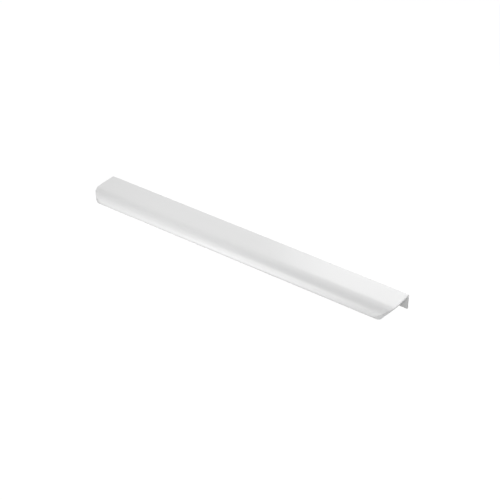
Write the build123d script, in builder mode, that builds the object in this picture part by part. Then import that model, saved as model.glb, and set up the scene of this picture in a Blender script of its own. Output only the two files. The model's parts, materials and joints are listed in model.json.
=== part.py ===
from build123d import *
from math import asin, atan2, cos, degrees, hypot, radians, sin
import os

# Edge pull: one cut length of an extruded aluminium profile, powder coated white.
# A flat plate lies on the top edge of a door or drawer front, a leg hangs behind
# the front and takes the screws, and ahead of the front the plate curls down and
# thickens into a finger lip. Lengths are millimetres, angles are degrees.

# Driving dimensions
pull_length = 320.0  # cut length
plate_flat = 21.0  # back of the leg to where the plate starts to bend
plate_wall = 1.0
ease_radius = 30.0  # the gentle start of the bend
ease_turn = 10.0  # how far the plate has turned where the tight curl starts
lip_radius = 11.2  # outside of the curl
lip_sweep = 67.5  # how far the lip's tip has turned down from level
lip_wall = 2.5  # at the tip, which is fully rounded
leg_drop = 14.5  # top of the plate to the foot of the leg
leg_wall = 1.2
corner_radius = 15.0  # front corners, seen from above

# Small radii of the extruded section
root_radius = 0.5  # inside corner under the plate
back_radius = 0.3  # outside corner at the back of the plate
foot_radius = 0.3  # both edges of the leg's foot

# Screw holes in the leg, countersunk from behind
screw_count = 3
screw_pitch = 128.0
screw_hole = 3.4
screw_head = 5.0
screw_head_angle = 90.0


# The way the top surface faces once it has turned that many degrees from level
def facing(turn):
    return Vector(sin(radians(turn)), cos(radians(turn)))


# The section is drawn from the back corner of the plate's top: forward is +X of
# the sketch and up is +Y. Each arc starts where the last one ends, in its
# direction, so the outside is smooth from the plate to the tip.
section_plane = Plane(origin=(0, 0, 0), x_dir=(0, -1, 0), z_dir=(-1, 0, 0))
ease_centre = Vector(plate_flat, -ease_radius)
curl_centre = ease_centre + facing(ease_turn) * (ease_radius - lip_radius)
tip_radius = lip_wall / 2
tip_centre = curl_centre + facing(lip_sweep) * (lip_radius - tip_radius)
tip_inside = tip_centre - facing(lip_sweep) * tip_radius

# The inside of the lip is one arc that leaves the underside level and reaches the
# tip facing the same way as the outside, which is what thickens the lip.
inside_radius = (-plate_wall - tip_inside.Y) / (1 - cos(radians(lip_sweep)))
inside_centre = tip_inside - facing(lip_sweep) * inside_radius

front_reach = tip_centre.X + tip_radius
hole_drop = (plate_wall + leg_drop) / 2

with BuildPart() as edge_pull:
    # Section: leg, plate and lip in one outline
    with BuildSketch(section_plane) as profile:
        with BuildLine():
            back = Line((0, -leg_drop), (0, 0))
            Line(back @ 1, (plate_flat, 0))
            CenterArc(ease_centre, ease_radius, 90, -ease_turn)
            curl = CenterArc(curl_centre, lip_radius, 90 - ease_turn, ease_turn - lip_sweep)
            TangentArc(curl @ 1, tip_inside, tangent=curl % 1)
            inside = CenterArc(inside_centre, inside_radius, 90 - lip_sweep, lip_sweep)
            underside = Line(inside @ 1, (leg_wall, -plate_wall))
            leg_front = Line(underside @ 1, (leg_wall, -leg_drop))
            Line(leg_front @ 1, back @ 0)
        make_face()
        fillet(profile.vertices().sort_by_distance((leg_wall, -plate_wall))[0], root_radius)
        fillet(profile.vertices().sort_by_distance((0, 0))[0], back_radius)
        fillet(profile.vertices().group_by(Axis.Y)[0], foot_radius)
    extrude(amount=pull_length / 2, both=True)

    # Front corners rounded in the plate's plane, right through the lip
    with BuildSketch(Plane.XY):
        with Locations((0, -front_reach / 2)):
            outline = Rectangle(pull_length, front_reach)
        fillet(outline.vertices().group_by(Axis.Y)[0], corner_radius)
    extrude(amount=-leg_drop, mode=Mode.INTERSECT)

    # Screw holes along the leg
    with Locations(Plane(origin=(0, 0, -hole_drop), x_dir=(1, 0, 0), z_dir=(0, 1, 0))):
        with GridLocations(screw_pitch, 0, screw_count, 1):
            CounterSinkHole(
                radius=screw_hole / 2,
                counter_sink_radius=screw_head / 2,
                depth=leg_wall,
                counter_sink_angle=screw_head_angle,
            )

# Unheld, the pull tips forward until it lies on the leg's foot and the lip's tip:
# the line under both is the common tangent of their two round edges.
foot_centre = Vector(leg_wall - foot_radius, foot_radius - leg_drop)
between = tip_centre - foot_centre
span = hypot(between.X, between.Y)
rest_tilt = degrees(atan2(between.Y, between.X) + asin((foot_radius - tip_radius) / span))

resting_pull = edge_pull.part.rotate(Axis.X, rest_tilt)
box = resting_pull.bounding_box()
resting_pull = resting_pull.translate((0, -box.center().Y, -box.min.Z))
resting_pull.label = "edge_pull"

os.makedirs("parts", exist_ok=True)
export_step(resting_pull, "parts/edge_pull.step")
print(f"rest tilt {rest_tilt:.2f} degrees, box {box.size}")
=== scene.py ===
import json
from math import asin, atan2, cos, degrees, radians, sin, sqrt, tan

import bmesh
import bpy
from mathutils import Matrix, Vector


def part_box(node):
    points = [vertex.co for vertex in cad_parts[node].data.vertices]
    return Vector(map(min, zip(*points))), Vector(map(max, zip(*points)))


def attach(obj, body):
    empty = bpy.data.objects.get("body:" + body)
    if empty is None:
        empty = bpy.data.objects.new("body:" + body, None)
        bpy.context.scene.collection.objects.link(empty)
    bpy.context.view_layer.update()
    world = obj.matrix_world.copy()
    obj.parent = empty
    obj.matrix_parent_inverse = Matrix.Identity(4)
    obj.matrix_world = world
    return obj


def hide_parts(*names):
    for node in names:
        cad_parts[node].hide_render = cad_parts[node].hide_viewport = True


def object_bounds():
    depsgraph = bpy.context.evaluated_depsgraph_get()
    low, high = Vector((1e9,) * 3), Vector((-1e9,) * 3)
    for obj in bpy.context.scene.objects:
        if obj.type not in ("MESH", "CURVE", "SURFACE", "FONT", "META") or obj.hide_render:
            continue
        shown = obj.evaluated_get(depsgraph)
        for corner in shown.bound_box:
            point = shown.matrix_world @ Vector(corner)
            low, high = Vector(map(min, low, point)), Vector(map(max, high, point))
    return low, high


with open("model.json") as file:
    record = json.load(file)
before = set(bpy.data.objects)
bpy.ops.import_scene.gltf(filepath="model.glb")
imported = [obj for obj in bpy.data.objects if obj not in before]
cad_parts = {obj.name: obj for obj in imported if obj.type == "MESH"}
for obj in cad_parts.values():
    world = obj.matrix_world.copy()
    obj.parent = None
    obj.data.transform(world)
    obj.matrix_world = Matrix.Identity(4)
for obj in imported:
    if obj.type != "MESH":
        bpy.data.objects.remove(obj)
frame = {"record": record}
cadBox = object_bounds()
mm = 0.001

# The pull is one cut length of profile. Its section runs from the foot of the leg, up the
# leg, along the plate and down the lip to the tip. Lengths are millimetres, turns are
# degrees from level, and each arc starts where the last one ends.
pull = {
    "plateFlat": 21.0,  # back of the leg to where the plate starts to bend
    "plateWall": 1.0,
    "easeRadius": 30.0,  # gentle start of the bend
    "easeTurn": 10.0,
    "lipRadius": 11.2,  # outside of the curl
    "lipSweep": 67.5,
    "lipWall": 2.5,  # at the tip, which is fully rounded
    "legDrop": 14.5,
    "legWall": 1.2,
    "cornerRadius": 15.0,  # front corners, seen from above
    "rootRadius": 0.5,
    "backRadius": 0.3,
    "footRadius": 0.3,
    "brokenEdge": 0.12,  # the saw's edges, broken before coating
    "edgeSteps": 4,
    "stations": (0.6, 3.0, 12.0),  # rows of points along the pull, from its broken edges
    "wallRows": 4,  # rows through the wall, on the cut ends
    "footSteps": 8,
    "legRows": 6,
    "cornerSteps": 8,
    "flatRows": 10,
    "curlSteps": 54,
    "tipSteps": 16,
    "sharpAngle": 40,  # edges that turn by more than this are shaded sharp
}


# Which way the outside faces once it has turned that far: x forward, y up
def facing(turn):
    return Vector((sin(radians(turn)), cos(radians(turn))))


# Where the arcs of the section have their centres
def sectionArcs(p):
    easeCentre = Vector((p["plateFlat"], -p["easeRadius"]))
    curlCentre = easeCentre + facing(p["easeTurn"]) * (p["easeRadius"] - p["lipRadius"])
    tipRadius = p["lipWall"] / 2
    tipCentre = curlCentre + facing(p["lipSweep"]) * (p["lipRadius"] - tipRadius)
    tipInside = tipCentre - facing(p["lipSweep"]) * tipRadius
    insideRadius = (-p["plateWall"] - tipInside.y) / (1 - cos(radians(p["lipSweep"])))
    return {
        "easeCentre": easeCentre,
        "curlCentre": curlCentre,
        "tipCentre": tipCentre,
        "tipRadius": tipRadius,
        "insideCentre": tipInside - facing(p["lipSweep"]) * insideRadius,
        "insideRadius": insideRadius,
        "reach": tipCentre.x + tipRadius,
        "foot": Vector((p["legWall"] - p["footRadius"], p["footRadius"] - p["legDrop"])),
    }


# A point on an arc and the way that the metal's surface faces there
def onArc(centre, radius, turn, hollow=False):
    return centre + facing(turn) * radius, facing(turn) * (-1 if hollow else 1)


# The section as pairs of points across the wall, back and outside with front and inside
def sectionPairs(p, arcs):
    footRadius, wall = p["footRadius"], p["legWall"]
    footBack = Vector((footRadius, footRadius - p["legDrop"]))
    backCentre = Vector((p["backRadius"], -p["backRadius"]))
    rootCentre = Vector((wall + p["rootRadius"], -p["plateWall"] - p["rootRadius"]))
    pairs = []
    for k in range(p["footSteps"] + 1):
        turn = 90 * k / p["footSteps"]
        outside = onArc(footBack, footRadius, 180 + turn)
        inside = onArc(arcs["foot"], footRadius, 180 - turn)
        pairs.append((outside, inside))
    for k in range(1, p["legRows"]):
        share = k / p["legRows"]
        outside = Vector((0, footBack.y + (backCentre.y - footBack.y) * share))
        inside = Vector((wall, footBack.y + (rootCentre.y - footBack.y) * share))
        pairs.append(((outside, facing(-90)), (inside, facing(90))))
    for k in range(p["cornerSteps"] + 1):
        turn = 90 * k / p["cornerSteps"] - 90
        outside = onArc(backCentre, p["backRadius"], turn)
        inside = onArc(rootCentre, p["rootRadius"], turn, hollow=True)
        pairs.append((outside, inside))
    for k in range(1, p["flatRows"]):
        share = k / p["flatRows"]
        bendInside = arcs["insideCentre"].x
        outside = Vector((backCentre.x + (p["plateFlat"] - backCentre.x) * share, 0))
        across = rootCentre.x + (bendInside - rootCentre.x) * share
        inside = Vector((across, -p["plateWall"]))
        pairs.append(((outside, facing(0)), (inside, facing(180))))
    for k in range(p["curlSteps"] + 1):
        turn = p["lipSweep"] * k / p["curlSteps"]
        if turn < p["easeTurn"]:
            outside = onArc(arcs["easeCentre"], p["easeRadius"], turn)
        else:
            outside = onArc(arcs["curlCentre"], p["lipRadius"], turn)
        inside = onArc(arcs["insideCentre"], arcs["insideRadius"], turn, hollow=True)
        pairs.append((outside, inside))
    for k in range(1, p["tipSteps"]):
        turn = 90 * k / p["tipSteps"]
        outside = onArc(arcs["tipCentre"], arcs["tipRadius"], p["lipSweep"] + turn)
        inside = onArc(arcs["tipCentre"], arcs["tipRadius"], p["lipSweep"] + 180 - turn)
        pairs.append((outside, inside))
    apex = onArc(arcs["tipCentre"], arcs["tipRadius"], p["lipSweep"] + 90)
    return pairs, apex


# How far the rounded front corner draws an end in, that far forward
def cornerInset(p, reach, forward):
    radius = p["cornerRadius"]
    into = min(max(forward - (reach - radius), 0.0), radius)
    return radius - sqrt(radius**2 - into**2)


def joinLoops(made, near, far):
    for k in range(len(near)):
        n = (k + 1) % len(near)
        made.faces.new((near[k], near[n], far[n], far[k]))


def finishMesh(made, name):
    mesh = bpy.data.meshes.new(name)
    made.to_mesh(mesh)
    made.free()
    piece = bpy.data.objects.new(name, mesh)
    bpy.context.scene.collection.objects.link(piece)
    return piece


def buildPull(p, arcs, length):
    pairs, apex = sectionPairs(p, arcs)
    rows = p["wallRows"]
    around = [outside for outside, inside in pairs] + [apex]
    around += [inside for outside, inside in reversed(pairs)]
    footOutside, footInside = pairs[0][0][0], pairs[0][1][0]
    around += [(footInside.lerp(footOutside, k / rows), facing(180)) for k in range(1, rows)]

    made = bmesh.new()
    # Marks the broken edges, whose coat is drawn darker and rougher; the darker colour is
    # partly painted shade
    edgeMark = made.verts.layers.float.new("brokenEdgeMark")

    def point(side, at, inward, edgeMarkValue=0.0):
        x = side * (length / 2 - cornerInset(p, arcs["reach"], at.x) - inward)
        vertex = made.verts.new((x * mm, -at.x * mm, at.y * mm))
        vertex[edgeMark] = edgeMarkValue
        return vertex

    edge = p["brokenEdge"]
    middle = {}
    for side in (-1, 1):
        loops = []
        for inward in reversed(p["stations"]):
            loops.append([point(side, at, edge + inward) for at, out in around])
        for k in range(p["edgeSteps"] + 1):
            turn = radians(90 * k / p["edgeSteps"])
            inward, sunk = edge * (1 - sin(turn)), edge * (1 - cos(turn))
            # The rounded edge rings get the mark for the darker colour, which is partly
            # painted shade, and for the rougher coat
            loops.append([point(side, at - out * sunk, inward, 1.0) for at, out in around])
        for near, far in zip(loops, loops[1:]):
            joinLoops(made, near, far)
        middle[side] = loops[0]

        # The cut end: the ring just made, filled in rows across the wall
        ring = loops[-1]
        count = len(pairs)
        grid = []
        for k in range(count):
            outside, inside = ring[k], ring[2 * count - k]
            line = [outside]
            for row in range(1, rows):
                if k == 0:
                    line.append(ring[2 * count + rows - row])
                else:
                    near = pairs[k][0][0] - pairs[k][0][1] * edge
                    far = pairs[k][1][0] - pairs[k][1][1] * edge
                    line.append(point(side, near.lerp(far, row / rows), 0.0))
            grid.append(line + [inside])
        for near, far in zip(grid, grid[1:]):
            for row in range(rows):
                made.faces.new((near[row], far[row], far[row + 1], near[row + 1]))
        for row in range(rows):
            made.faces.new((grid[-1][row], ring[count], grid[-1][row + 1]))
    joinLoops(made, middle[-1], middle[1])
    bmesh.ops.recalc_face_normals(made, faces=made.faces)
    return finishMesh(made, "edgePull")


# Countersunk from behind, along the leg
screwHoles = {
    "head": 5.0,
    "headAngle": 90.0,
    "brokenEdge": 0.12,
    "sides": 96,
    "past": 1.0,  # how far a cutter runs on in front of the leg
    "mouth": (0.4, 0.8),  # and how far behind it, and how much wider it is there
}


# A cutter for one screw hole, turned about y, with the back of the leg at y = 0
def buildCutter(hole, radius, wall, name):
    sink = radians(hole["headAngle"] / 2)
    depth = (hole["head"] / 2 - radius) / tan(sink)
    edge = hole["brokenEdge"]
    widest = hole["head"] / 2 + edge
    behind, wider = hole["mouth"]
    outline = [
        (-wall - hole["past"], radius),
        (-depth, radius),
        (-edge, hole["head"] / 2 - edge * tan(sink)),
        (0.0, widest),
        (behind, widest + wider),
    ]
    turns = [radians(360 * k / hole["sides"]) for k in range(hole["sides"])]
    made = bmesh.new()
    rings = []
    for y, r in outline:
        places = [(r * sin(turn) * mm, y * mm, r * cos(turn) * mm) for turn in turns]
        rings.append([made.verts.new(place) for place in places])
    for near, far in zip(rings, rings[1:]):
        joinLoops(made, near, far)
    made.faces.new(rings[0])
    made.faces.new(rings[-1])
    bmesh.ops.recalc_face_normals(made, faces=made.faces)
    return finishMesh(made, name)


def applyModifiers(piece):
    graph = bpy.context.evaluated_depsgraph_get()
    finished = bpy.data.meshes.new_from_object(piece.evaluated_get(graph))
    piece.modifiers.clear()
    plain = piece.data
    piece.data = finished
    bpy.data.meshes.remove(plain)


mounts = {mount["name"]: mount for mount in frame["record"]["mounts"]}
length = (cadBox[1].x - cadBox[0].x) / mm
arcs = sectionArcs(pull)
print("pull: section, cut ends and rounded corners,", round(length, 1), "mm long")
edgePull = buildPull(pull, arcs, length)

# Unheld it lies tipped forward, on the foot of the leg and the tip of the lip
span = arcs["tipCentre"] - arcs["foot"]
tilt = atan2(span.y, span.x) + asin((pull["footRadius"] - arcs["tipRadius"]) / span.length)
turned = Matrix.Rotation(tilt, 4, "X")
corners = [turned @ vertex.co for vertex in edgePull.data.vertices]
nodeLow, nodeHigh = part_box("edge_pull")
front, back = min(c.y for c in corners), max(c.y for c in corners)
sideways = (nodeLow.y + nodeHigh.y - front - back) / 2
upward = nodeLow.z - min(c.z for c in corners)
seat = Matrix.Translation((0, sideways, upward)) @ turned
edgePull.data.transform(seat)
print("pull: lies tipped forward by", round(degrees(tilt), 2), "degrees")

# One hole in the middle of the leg and one to each side
outer, middleHole = mounts["outer_screw_holes"], mounts["middle_screw_hole"]
pitch = outer["dims"]["pcd_mm"] / 2
holeRadius = middleHole["dims"]["r_mm"]
level = seat.inverted() @ Vector(middleHole["pos_m"])
cutters = []
for k in (-1, 0, 1):
    cutter = buildCutter(screwHoles, holeRadius, pull["legWall"], "cutter" + str(k + 1))
    cutter.data.transform(seat @ Matrix.Translation((k * pitch * mm, 0, level.z)))
    cut = edgePull.modifiers.new("hole" + str(k + 1), "BOOLEAN")
    cut.operation, cut.solver, cut.object = "DIFFERENCE", "EXACT", cutter
    cutters.append(cutter)
applyModifiers(edgePull)
for cutter in cutters:
    bpy.data.objects.remove(cutter)

for polygon in edgePull.data.polygons:
    polygon.use_smooth = True
edgePull.data.set_sharp_from_angle(angle=radians(pull["sharpAngle"]))
weighted = edgePull.modifiers.new("flatFaces", "WEIGHTED_NORMAL")
weighted.keep_sharp = True
applyModifiers(edgePull)
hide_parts("edge_pull")
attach(edgePull, "root")
print("pull: three countersunk holes,", len(edgePull.data.polygons), "faces")


# One output of a node. Sums on it add Math nodes to the same material.
class Wire:
    def __init__(self, graph, socket):
        self.graph, self.socket = graph, socket

    def maths(self, operation, other):
        return self.graph.add("ShaderNodeMath", {"operation": operation}, {0: self, 1: other})

    def __add__(self, other):
        return self.maths("ADD", other)

    def __sub__(self, other):
        return self.maths("SUBTRACT", other)

    def __mul__(self, other):
        return self.maths("MULTIPLY", other)

    def atMost(self, limit):
        return self.maths("MINIMUM", limit)

    __radd__ = __add__
    __rmul__ = __mul__


class Graph:
    def __init__(self, tree):
        self.tree = tree
        tree.nodes.clear()

    # Any node, from its type, its settings and what its sockets take
    def add(self, kind, settings=None, sockets=None, output=0):
        node = self.tree.nodes.new(kind)
        for name, value in (settings or {}).items():
            setattr(node, name, value)
        for name, value in (sockets or {}).items():
            if isinstance(value, Wire):
                self.tree.links.new(value.socket, node.inputs[name])
            else:
                node.inputs[name].default_value = value
        return Wire(self, node.outputs[output]) if node.outputs else node

    def noise(self, place, size, detail=2.0):
        sockets = {"Vector": place, "Scale": 1 / (size * mm), "Detail": detail}
        return self.add("ShaderNodeTexNoise", None, sockets)

    # The colour sockets of a Mix node are its inputs 6 and 7 and its output 2
    def blend(self, share, first, second):
        mix = {"data_type": "RGBA", "blend_type": "MIX"}
        sockets = {0: share, 6: first, 7: second}
        return self.add("ShaderNodeMix", mix, sockets, output=2)

    # 1 where the camera, a reflection or a see-through ray looks at the surface
    def seen(self):
        path = self.add("ShaderNodeLightPath").socket.node.outputs
        names = ("Is Camera Ray", "Is Glossy Ray", "Is Transmission Ray")
        looking, mirrored, through = (Wire(self, path[name]) for name in names)
        return (looking + mirrored + through).atMost(1.0)


def grey(level):
    return (level, level, level, 1.0)


# Sizes and heights are millimetres
coat = {
    "colour": (0.9, 0.9, 0.897),
    "cloudColour": (0.885, 0.887, 0.888),  # faint cloudiness of the sprayed powder
    "cloudSize": 45.0,
    "cloudDetail": 3.0,
    "thinAndShadedColour": (0.7, 0.7, 0.7),  # darker on the broken edges of the cut ends: partly powder drawn back from the edge, partly painted shade that damps their highlight
    "thinAndShadedLeast": 0.35,  # how much of that colour the edges have at least
    "thinAndShadedPatches": 0.5,  # and how much more in patches
    "thinRoughness": 0.35,
    "roughness": 0.25,
    "roughnessSpread": 0.04,
    "patchSize": 6.0,
    "peelSize": 1.3,  # orange peel, from crest to crest
    "peelHeight": 0.006,
    "grainSize": 0.35,
    "grainHeight": 0.0012,
    "fineDetail": 1.0,  # of the peel and the grain
    "refraction": 1.5,
}


def makeCoat(values):
    material = bpy.data.materials.new("whitePowderCoat")
    material.use_nodes = True
    graph = Graph(material.node_tree)
    place = graph.add("ShaderNodeTexCoord", output=3)  # along the piece itself
    cloud = graph.noise(place, values["cloudSize"], values["cloudDetail"])
    patches = graph.noise(place, values["patchSize"])
    peel = graph.noise(place, values["peelSize"], values["fineDetail"])
    grain = graph.noise(place, values["grainSize"], values["fineDetail"])
    edgeMark = graph.add("ShaderNodeAttribute", {"attribute_name": "brokenEdgeMark"}, output=2)

    colour = graph.blend(cloud, (*values["colour"], 1), (*values["cloudColour"], 1))
    # The broken edges are drawn darker: partly thin powder, partly painted shade that damps
    # their highlight
    thinAndShadedShare = edgeMark * (values["thinAndShadedLeast"] + values["thinAndShadedPatches"] * patches)
    colour = graph.blend(thinAndShadedShare, colour, (*values["thinAndShadedColour"], 1))
    uneven = (patches - 0.5) * (2 * values["roughnessSpread"])
    roughness = values["roughness"] + uneven + values["thinRoughness"] * edgeMark
    height = peel * values["peelHeight"] + grain * values["grainHeight"]
    relief = {"Strength": 1.0, "Distance": mm, "Height": height}
    surface = {
        "Base Color": colour,
        "Roughness": roughness,
        "Normal": graph.add("ShaderNodeBump", None, relief),
        "IOR": values["refraction"],
    }
    finish = graph.add("ShaderNodeBsdfPrincipled", None, surface)
    graph.add("ShaderNodeOutputMaterial", None, {"Surface": finish})
    return material


# The coat's broken edges are darker, partly as painted shade
print("coat: powder, orange peel and thin edges")
edgePull.data.materials.clear()
edgePull.data.materials.append(makeCoat(coat))

studio = {
    "floorReach": 6.0,  # metres from the middle to each side
    "floorBounce": 0.25,  # what the floor throws back onto the pull
    "floorShade": 0.05,  # its share that takes the pull's shadow, where it is seen
    "floorGlow": 1.0,  # where it is seen, and 1 is white
    "worldLevel": 0.1,  # what the white world lights the pull with
}


# The floor lights the pull as a grey floor does, and looks white, with a faint shadow
def makeFloor(values):
    reach = values["floorReach"]
    mesh = bpy.data.meshes.new("floor")
    ends = [(-reach, -reach, 0), (reach, -reach, 0), (reach, reach, 0), (-reach, reach, 0)]
    mesh.from_pydata(ends, [], [(0, 1, 2, 3)])
    floor = bpy.data.objects.new("floor", mesh)
    bpy.context.scene.collection.objects.link(floor)
    material = bpy.data.materials.new("paleFloor")
    material.use_nodes = True
    graph = Graph(material.node_tree)
    seen = graph.seen()
    colour = graph.blend(seen, grey(values["floorBounce"]), grey(values["floorShade"]))
    plain = graph.add("ShaderNodeBsdfDiffuse", None, {"Color": colour})
    glow = graph.add("ShaderNodeEmission", None, {"Strength": seen * values["floorGlow"]})
    both = graph.add("ShaderNodeAddShader", None, {0: plain, 1: glow})
    graph.add("ShaderNodeOutputMaterial", None, {"Surface": both})
    mesh.materials.append(material)
    return floor


def makeWorld(values):
    world = bpy.data.worlds.new("studio")
    bpy.context.scene.world = world
    world.use_nodes = True
    graph = Graph(world.node_tree)
    seen = graph.seen()
    level = values["worldLevel"] + seen * (1 - values["worldLevel"])
    sky = graph.add("ShaderNodeBackground", None, {"Color": grey(1.0), "Strength": level})
    graph.add("ShaderNodeOutputWorld", None, {"Surface": sky})


# Each lamp shines at a point on the floor's middle line, "along" metres to the right of the
# pull's middle. Azimuth 0 is in front of the lip and 90 is to the right, in degrees, as is
# the height. Distance and size are metres, and power is watts.
lamps = {
    "backRight": {
        "azimuth": 150,
        "height": 30,
        "distance": 0.6,
        "size": (0.5, 0.3),
        "along": 0,
        "power": 2.15,
    },
    "backMiddle": {
        "azimuth": 180,
        "height": 42,
        "distance": 0.6,
        "size": (0.5, 0.3),
        "along": 0,
        "power": 1.32,
    },
    "backLeft": {
        "azimuth": 218,
        "height": 31,
        "distance": 0.66,
        "size": (0.4, 0.3),
        "along": -0.15,
        "power": 0.3,
    },
    "right": {
        "azimuth": 40,
        "height": 16,
        "distance": 0.6,
        "size": (0.4, 0.12),
        "along": 0,
        "power": 1.39,
    },
    "lipHigh": {
        "azimuth": 0,
        "height": 30,
        "distance": 0.3,
        "size": (0.2, 0.12),
        "along": -0.08,
        "power": 0.235,
    },
    "lipLow": {
        "azimuth": 0,
        "height": 3,
        "distance": 0.3,
        "size": (0.2, 0.1),
        "along": -0.12,
        "power": 0.33,
    },
    "left": {
        "azimuth": 330,
        "height": 9,
        "distance": 0.33,
        "size": (0.2, 0.14),
        "along": -0.06,
        "power": 0.08,
    },
}


def placeLamp(name, values):
    light = bpy.data.lights.new(name, "AREA")
    light.shape = "RECTANGLE"
    light.size, light.size_y = values["size"]
    light.energy = values["power"]
    lamp = bpy.data.objects.new(name, light)
    around, above = radians(values["azimuth"]), radians(values["height"])
    away = Vector((sin(around) * cos(above), -cos(around) * cos(above), sin(above)))
    at = Vector((values["along"], 0, 0)) + away * values["distance"]
    faced = away.to_track_quat("Z", "Y").to_matrix().to_4x4()
    lamp.matrix_world = Matrix.Translation(at) @ faced
    lamp.visible_camera = False
    bpy.context.scene.collection.objects.link(lamp)


# The camera, set against the pull's own axes: x along it, y back and z up, from the left
# back corner of the plate's top
camera = {
    "focalLength": 1260.23,  # in pixels of a picture as wide as the next value
    "pictureWidth": 500.0,
    "sensor": 36.0,
    "nearest": 0.02,  # metres
    "farthest": 30.0,
    "right": (0.812248, 0.583297, -0.004227),
    "down": (0.332583, -0.469054, -0.818154),
    "forward": (-0.479209, 0.663139, -0.574983),
    "corner": (-128.982, -69.882, 1189.261),  # that corner, mm right, down and ahead
}


def placeCamera(values):
    lens = bpy.data.cameras.new("camera")
    lens.sensor_width = values["sensor"]
    lens.lens = values["focalLength"] / values["pictureWidth"] * values["sensor"]
    lens.clip_start, lens.clip_end = values["nearest"], values["farthest"]
    right, down, ahead = (Vector(values[name]) for name in ("right", "down", "forward"))
    toAxes = Matrix((right, down, ahead)).transposed()
    spot = -(toAxes @ Vector(values["corner"])) - Vector((length / 2, 0, 0))
    axes = Matrix((right, -down, -ahead)).transposed().to_4x4()
    viewer = bpy.data.objects.new("camera", lens)
    viewer.matrix_world = seat @ Matrix.Translation(spot * mm) @ axes
    bpy.context.scene.collection.objects.link(viewer)
    bpy.context.scene.camera = viewer


print("studio: floor, lamps and camera")
makeFloor(studio)
makeWorld(studio)
for name, values in lamps.items():
    placeLamp(name, values)
placeCamera(camera)
bpy.context.scene.view_settings.view_transform = "Standard"
